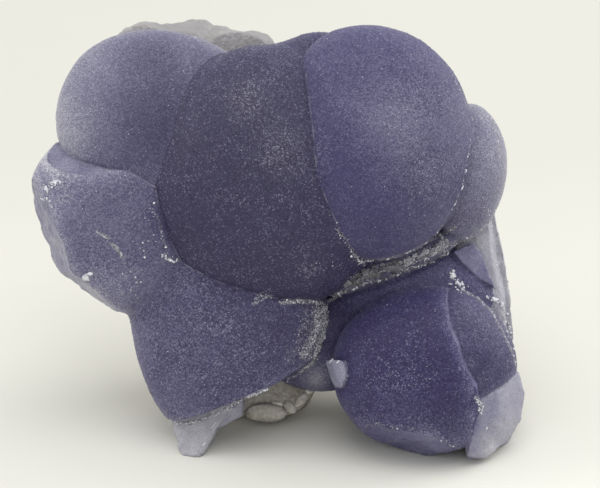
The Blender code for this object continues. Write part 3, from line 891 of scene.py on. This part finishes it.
def fluorite_material():
    look = Look("fluorite_skin")
    on_cut = look.between(look.field("cut") + look.clouds(0.5, 0.9, 3.0), -0.08, 0.08)
    grown = 1.0 - on_cut
    sparkle = look.field("sparkle")
    chance, hollow = look.cells(0.23)
    fine = look.clouds(1.0, 0.30)
    pale = look.mix_values(on_cut, look.field("pale"), look.field("pale_cut"))
    pale += look.clouds(0.17, 7.0, 3.0)
    pale += look.clouds(0.26, 2.4, 4.0, 0.65) * on_cut
    pale += look.clouds(0.7, 2.2, 3.0, 0.6) * sparkle * grown
    pale += (chance - 0.5) * (0.22 + sparkle * 0.75) * grown
    pale += fine * (0.36 + sparkle * 0.60)
    glint = look.between(chance + sparkle * 0.16, 0.94, 1.12) * grown
    base = look.ramp(pale / PALEST, FLUORITE_COLOURS)
    saturation = 1.0 - look.field("grey") * 0.50
    base = look.value("HueSaturation", {"Saturation": saturation, "Color": base})
    base = look.mix_colours(glint * 0.22, base, GLINT_COLOUR)
    patchy = look.between(look.noise(3.0), 0.35, 0.65)
    # a pale line just inside each lip: a painted highlight along the edge
    for name in LIPS:
        near = look.maths("ABSOLUTE", look.field("lip_" + name) - 0.14)
        line = 1.0 - look.between(near, 0.05, 0.24)
        base = look.mix_colours(line * 0.34 * patchy * grown, base, LIP_HIGHLIGHT_COLOUR)
    druse = look.between(look.field("druse") + look.clouds(1.1, 0.7), 0.25, 0.95)
    base = look.mix_colours(druse * 0.7, base, look.ramp(look.cells(0.42)[0], COAT_COLOURS))
    return look.made({
        "Base Color": base,
        "Roughness": look.mix_values(on_cut, 0.50, 0.36) - glint * 0.2,
        "Normal": look.bump(hollow + fine * 0.8, 0.5, 0.10),
        "IOR": 1.43,
        "Specular IOR Level": 0.32,
        "Sheen Weight": 0.04,
        "Sheen Roughness": 0.45,
        "Sheen Tint": (0.85, 0.83, 0.95, 1),
    })


def grain_material():
    look = Look("fluorite_grains")
    clouds = look.clouds(0.3, 0.6)
    pale = look.maths("ADD", look.field("pale"), clouds, clamp=True)
    return look.made({"Base Color": look.ramp(pale, GRAIN_COLOURS), "Roughness": 0.28 + clouds, "IOR": 1.45})


def crystal_material():
    look = Look("druse_crystals")
    clouds = look.clouds(0.5, 0.5, 3.0)
    pale = look.maths("ADD", look.field("pale"), clouds, clamp=True)
    return look.made({
        "Base Color": look.ramp(pale, CRYSTAL_COLOURS),
        "Roughness": 0.30 + clouds,
        "Normal": look.bump(look.noise(0.2), 0.3, 0.05),
        "IOR": 1.45,
    })


def matrix_material():
    look = Look("quartz_rock")
    spots = look.noise(1.6, 3.0, 0.6)
    cool = look.field("cool")
    grains = (look.cells(0.55)[0] - 0.5) * (0.22 + cool * 0.10)
    shade = look.noise(9.0, 4.0, 0.6) + grains + look.field("pale")
    base = look.ramp(shade / PALEST_QUARTZ, QUARTZ_COLOURS)
    base = look.mix_colours(look.between(spots, 0.55, 0.75) * look.field("stain"), base, STAIN_COLOUR)
    base = look.mix_colours(cool * 0.62, base, COOL_COLOUR)
    return look.made({
        "Base Color": base,
        "Roughness": 0.30 + spots * 0.4,
        "Normal": look.bump(look.cells(0.8)[1] + spots, 0.5, 0.25),
        "IOR": 1.54,
    })


def unit(rows):
    return rows / lengths(rows)[:, None]


def sizes_between(count, least, most, power, random):
    """Random sizes from the least to the most, most of them near the least."""
    return least + (most - least) * random.random(count) ** power


def scattered(points, faces, density, random):
    """Random places on the surface, as (place, normal, triangle); density is per square mm."""
    first, second, third = points[faces].swapaxes(0, 1)
    cross = np.cross(second - first, third - first)
    double = lengths(cross)
    which = np.repeat(np.arange(len(faces)), random.poisson(density * (double / 2)))
    shares = random.random(len(which)), random.random(len(which))
    over = shares[0] + shares[1] > 1
    ahead, aside = (np.where(over, 1 - share, share)[:, None] for share in shares)
    first, second, third = first[which], second[which], third[which]
    place = first + ahead * (second - first) + aside * (third - first)
    return place, (cross / np.maximum(double, 1e-12)[:, None])[which], which


def leaning(normal, lean, random):
    """The normals, each turned a random way, and two directions at right angles to it."""
    axis = unit(normal + lean * random.normal(size=normal.shape))
    turn = random.random(len(axis)) * 2 * math.pi
    side = unit(np.cross(axis, np.where(np.abs(axis[:, :1]) < 0.8, [[1.0, 0, 0]], [[0, 1.0, 0]])))
    other = np.cross(axis, side)
    cosine, sine = np.cos(turn)[:, None], np.sin(turn)[:, None]
    return axis, side * cosine + other * sine, other * cosine - side * sine


def repeated(corners, shape):
    """Many solids with these corners, one array for each, that share one list of triangles."""
    points = np.stack(corners, axis=1)
    count, size = points.shape[:2]
    faces = np.array(shape)[None] + size * np.arange(count)[:, None, None]
    return points.reshape(-1, 3), faces.reshape(-1, 3)


def ring_faces(sides):
    """Triangles between a front ring and a back ring of corners, a front tip and a back one."""
    shape = []
    for step in range(sides):
        after = (step + 1) % sides
        low, next_low = sides + step, sides + after
        shape += [
            [2 * sides, step, after], [step, low, next_low], [step, next_low, after],
            [low, 2 * sides + 1, next_low],
        ]
    return shape


def ring_arms(sides, side, other):
    """Arms to the corners of a ring around an axis."""
    angles = [2 * math.pi * step / sides for step in range(sides)]
    return [math.cos(angle) * side + math.sin(angle) * other for angle in angles]


def corner_grains(place, normal, edge, lean, random):
    """Corners of small cubes that stand out of the surface, each a closed solid of 4 triangles."""
    axis, side, other = leaning(normal, lean, random)
    tip = place + axis * (0.40 * edge)[:, None]
    arms = [math.sqrt(2 / 3) * arm - axis / math.sqrt(3) for arm in ring_arms(3, side, other)]
    corners = [tip] + [tip + arm * edge[:, None] for arm in arms]
    return repeated(corners, [[0, 1, 2], [0, 2, 3], [0, 3, 1], [1, 3, 2]])


def small_cubes(place, normal, size, random):
    """Small crystals, nearly cubes, half sunk in the surface and turned every way."""
    axis, side, other = leaning(normal, 0.9, random)
    reach = size[:, None] * (0.32 + 0.22 * random.random((len(size), 3)))
    middle = place + normal * (0.12 * size)[:, None]
    corners = [
        middle + z * reach[:, :1] * axis + y * reach[:, 1:2] * other + x * reach[:, 2:] * side
        for z in (-1, 1) for y in (-1, 1) for x in (-1, 1)
    ]
    return repeated(corners, BOX_FACES)


def quartz_points(place, normal, size, random):
    """Six-sided quartz crystals with a pointed end, rooted in the surface."""
    axis, side, other = leaning(normal, 0.35, random)
    long = (size * (1.1 + 0.9 * random.random(len(size))))[:, None] * axis
    arms = [size[:, None] * 0.42 * arm for arm in ring_arms(6, side, other)]
    corners = [place + height * long + arm for height in (0.55, -0.6) for arm in arms]
    return repeated(corners + [place + 0.95 * long, place - 0.6 * long], ring_faces(6))


def seen_from_camera(tree, pixels):
    """Places and normals where the lines of sight through these pixels first meet the surface."""
    camera = Vector(CAMERA)
    found = []
    for index, (x, y) in enumerate(pixels):
        aim = Vector(((x - MIDDLE[0]) * PIXEL, (MIDDLE[1] - y) * PIXEL, 0.0)) - camera
        place, normal, _, _ = tree.ray_cast(camera, aim.normalized())
        if place is not None:
            found.append((place[:], normal[:], index))
    places, normals, kept = zip(*found)
    return np.array(places), np.array(normals), kept


def along_line(line, width, density, patchy, random):
    """Random pixels within this half width of a line, this many to a square millimetre where the
    coat is whole; a patchy coat is bare in places."""
    line = np.array(line, float)
    steps = np.diff(line, axis=0)
    long = lengths(steps)
    count = round(long.sum() * 2 * width * PIXEL ** 2 * density)
    which = random.choice(len(steps), count, p=long / long.sum())
    spread = np.clip(random.normal(0, 0.45, (count, 2)), -1, 1) * width
    pixels = line[which] + steps[which] * random.random(count)[:, None] + spread
    cover = 0.5 + layered(np.column_stack([pixels, np.zeros(count)]), PATCHINESS)
    return pixels[random.random(count) > patchy * (1 - cover)]


def tones_around(count, pale, varies, random):
    return pale + varies * (2 * random.random(count) - 1)


def coats(tree, rows, power, random):
    """The places, normals and sizes of each row's crystals, and the row's numbers for their tone."""
    for line, width, density, (least, most), pale, varies, patchy in rows:
        places, normals, _ = seen_from_camera(tree, along_line(line, width, density, patchy, random))
        yield places, normals, sizes_between(len(places), least, most, power, random), (pale, varies)


def druse_arrays(tree, random):
    """Small crystals along the seams, and how pale each point of them is."""
    parts, tones = [], []
    for places, normals, size, look in coats(tree, DRUSE, 2.2, random):
        parts.append(small_cubes(places, normals, size, random))
        tones.append(np.repeat(np.clip(tones_around(len(places), *look, random), 0, 1), 8))
    return *joined(parts), np.concatenate(tones)


def plate_arrays(tree, random):
    """Thin plates of crystal with pale edges, which are painted highlights, and how pale each point of them
    is.
    """
    parts, tones = [], []
    for places, normals, size, look in coats(tree, PLATES, 1.5, random):
        count = len(places)
        axis, side, other = leaning(normals, 0.32, random)
        middle = places + axis * ((0.10 + 0.16 * random.random(count)) * size)[:, None]
        inner, outer = [], []
        for step in range(PLATE_SIDES):
            angle = 2 * math.pi * (step + 0.5 * random.random(count)) / PLATE_SIDES
            reach = size * (0.30 + 0.28 * random.random(count))
            arm = (np.cos(angle) * reach)[:, None] * side + (0.7 * np.sin(angle) * reach)[:, None] * other
            inner.append(middle + 0.74 * arm + axis * (0.03 * size)[:, None])
            outer.append(middle + arm)
        root = places - axis * (0.2 * size)[:, None]
        parts.append(repeated(inner + outer + [middle, root], ring_faces(PLATE_SIDES)))
        face = tones_around(count, *look, random)
        # the edges paler: painted highlights where the plates' edges catch the light
        edge = face + 0.42 + 0.2 * random.random(count)
        tone = np.stack([face] * PLATE_SIDES + [edge] * PLATE_SIDES + [face, face], axis=1)
        tones.append(np.clip(tone, 0, 1).ravel())
    return *joined(parts), np.concatenate(tones)


def chip_arrays(tree, chips, spots_each, random):
    """Chips or rounded crystals lying on the surface, and how pale each point of them is."""
    parts, tones = [], []
    for place, normal, index in zip(*seen_from_camera(tree, [chip[:2] for chip in chips])):
        _, _, long, wide, turn, pale = chips[index]
        along = np.array([math.cos(math.radians(turn)), math.sin(math.radians(turn)), 0.0])
        along -= normal * (along @ normal)
        along /= np.linalg.norm(along)
        spots = unit(random.normal(size=(spots_each, 3))) * [long / 2, wide / 2, 0.22 * wide + 0.12]
        corners = place + spots @ np.stack([along, np.cross(normal, along), normal])
        parts.append(hull_of(corners.tolist(), 0)[:2])
        tones.append(np.full(len(parts[-1][0]), pale))
    return *joined(parts), np.concatenate(tones)


def dressed(name, points, faces, fields, material, node=None, smooth=True):
    """A piece of the specimen, in its place, that rides on the root body."""
    piece = object_from(name, from_face(points), faces)
    for key, values in fields.items():
        made = piece.data.attributes.new(key, "FLOAT", "POINT")
        made.data.foreach_set("value", np.asarray(values, np.float32))
    if smooth:
        piece.data.shade_smooth()
    piece.data.materials.append(material)
    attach(piece, "root")
    if node:
        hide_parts(node)
    print(name, len(faces), "triangles")


def build_stage():
    bm = bmesh.new()
    bmesh.ops.create_grid(bm, x_segments=1, y_segments=1, size=3.0)
    mesh = bpy.data.meshes.new("floor")
    bm.to_mesh(mesh)
    bm.free()
    floor = linked("floor", mesh)
    look = Look("floor_paper")
    back = look.node("SeparateXYZ", {"Vector": look.place}).outputs["Y"]
    # darker towards the back: painted shade for the lamps' light falling off
    far = look.between(back, FLOOR_NEAR, FLOOR_FAR) + look.clouds(0.2, 60.0)
    inputs = {"Base Color": look.ramp(far, FLOOR_COLOURS), "Roughness": 0.9, "Specular IOR Level": 0.0}
    mesh.materials.append(look.made(inputs))


def aimed(name, data, place, target):
    """A light or camera at this place that looks at the target."""
    made = linked(name, data)
    made.location = place
    made.rotation_mode = "QUATERNION"
    made.rotation_quaternion = (Vector(target) - Vector(place)).to_track_quat("-Z", "Y")
    return made


def build_light():
    world = bpy.data.worlds.new("tent")
    world.use_nodes = True
    background = world.node_tree.nodes["Background"]
    background.inputs["Color"].default_value = WORLD_COLOUR
    background.inputs["Strength"].default_value = WORLD_STRENGTH
    bpy.context.scene.world = world
    for name, (place, height, size, power) in LIGHTS.items():
        data = bpy.data.lights.new(name, "AREA")
        data.shape = "RECTANGLE"
        data.size, data.size_y = size
        data.energy = power
        data.color = LIGHT_COLOUR
        aimed(name, data, place, (0, 0, height))


def build_camera():
    target, place = from_face([(*CAMERA[:2], 0.0), CAMERA])
    data = bpy.data.cameras.new("camera")
    data.sensor_width = 36.0
    data.lens = data.sensor_width * CAMERA[2] / (IMAGE[0] * PIXEL)
    data.clip_start, data.clip_end = 0.01, 20.0
    bpy.context.scene.camera = aimed("camera", data, place, target)


def build_fluorite(ball, random):
    """The crust's two pieces; gives a search tree of both and the places of the skin's grains."""
    chunks, sides = [], {}
    for name, (_, _, corners) in CHUNKS.items():
        *chunk, sides[name] = hull_of(corners, CHUNK_CUTS)
        chunks.append(chunk)
    lower = [name for name in LOBES if name not in UPPER]
    material = fluorite_material()
    both, grains = [], []
    for name, lobes, pieces in (("fluorite_crust_upper", UPPER, []), ("fluorite_crust_lower", lower, chunks)):
        points, faces = crust_arrays(ball, lobes, pieces, sides)
        fields = skin_fields(points, sides)
        dressed(name, points, faces, fields, material, "fluorite")
        both.append((points, faces))
        middle = points[faces].mean(axis=1)
        cut, sparkle, pale = (fields[key][faces].mean(axis=1) for key in ("cut", "sparkle", "pale"))
        front = (middle[:, 2] > contact_height(middle) + GRAINS_FRONT) & (cut < GRAINS_CUT)
        density = np.where(front, PLAIN_GRAINS + SPARKLING_GRAINS * sparkle, 0.0)
        place, facing, which = scattered(points, faces, density, random)
        grains.append((place, facing, pale[which]))
    points, faces = joined(both)
    tree = BVHTree.FromPolygons(points.tolist(), faces.tolist())
    return tree, [np.concatenate(column) for column in zip(*grains)]


def build_grains(place, facing, pale, random):
    edge = sizes_between(len(place), *GRAIN_SIZES, 2, random)
    points, faces = corner_grains(place, facing, edge, 0.5, random)
    chance = random.random(len(place))
    # a few grains much paler: painted glints
    tone = np.repeat(pale - 0.04 + 0.35 * chance ** 3 + 0.75 * chance ** 45, 4)
    material = grain_material()
    steps = 4 * np.linspace(0, len(place), 4).astype(int)
    for name, low, high in zip(("skin_grains_a", "skin_grains_b", "skin_grains_c"), steps[:-1], steps[1:]):
        fields = {"pale": tone[low:high]}
        dressed(name, points[low:high], faces[low:high] - low, fields, material, smooth=False)


def build_details(tree, random):
    """Crystals, plates and chips on the crust."""
    material = crystal_material()
    for name, arrays, *settings in (
        ("druse_crystals", druse_arrays), ("druse_plates", plate_arrays),
        ("crust_chips", chip_arrays, CHIPS, CHIP_CORNERS),
    ):
        points, faces, tone = arrays(tree, *settings, random)
        dressed(name, points, faces, {"pale": tone}, material, smooth=False)


def build_matrix(ball, random):
    points, faces = matrix_arrays(ball)
    low = smoothstep(*FOOT_UP, points[:, 1]) * smoothstep(*FOOT_OUT, points[:, 2])
    top = smoothstep(*TOP_UP, points[:, 1])
    pixels = pixel_of(points)
    # the top lump's own tone, with paler spots of painted light on its shaded faces
    top_tone = TOP_TONE + sum(paler * patch(pixels, *spot) for *spot, paler in TOP_PAINTED_LIGHT)
    fields = {
        # the foot, in shade under the crust, made paler with painted light, less so to the right; the foot is
        # also more stained
        "pale": low * (0.18 - 0.26 * smoothstep(-3.0, 3.0, points[:, 0])) + top_tone * top,
        "cool": top,
        "stain": 0.55 + 0.15 * low - 0.50 * top,
    }
    material = matrix_material()
    dressed("quartz_matrix", points, faces, fields, material, "matrix")
    tree = BVHTree.FromPolygons(points.tolist(), faces.tolist())
    pebbles, sides, tone = chip_arrays(tree, PEBBLES, PEBBLE_CORNERS, random)
    fields = {"pale": tone, "cool": 0 * tone, "stain": 0 * tone + 0.08}
    dressed("foot_pebbles", pebbles, sides, fields, material)
    middle = points[faces].mean(axis=1)
    bare = (middle[:, 2] < CRYSTALS_BEHIND) & (level_of(middle) - REST_LEVEL > CRYSTALS_ABOVE)
    patches = smoothstep(0.05, 0.5, noise_at(middle, *CRYSTAL_PATCHES))
    place, facing, _ = scattered(points, faces, np.where(bare, CRYSTAL_DENSITY * patches, 0.0), random)
    size = sizes_between(len(place), *CRYSTAL_SIZES, 2, random)
    points, faces = quartz_points(place, facing, size, random)
    fields = {"pale": np.repeat(0.55 + 0.35 * random.random(len(place)), 14)}
    dressed("quartz_crystals", points, faces, fields, crystal_material(), smooth=False)


def main():
    random = np.random.default_rng(7)
    build_stage()
    build_light()
    build_camera()
    scene = bpy.context.scene
    scene.view_settings.view_transform = "Standard"
    scene.cycles.use_denoising = True
    ball = unit_ball()
    tree, grains = build_fluorite(ball, random)
    build_grains(*grains, random)
    build_details(tree, random)
    build_matrix(ball, random)


main()
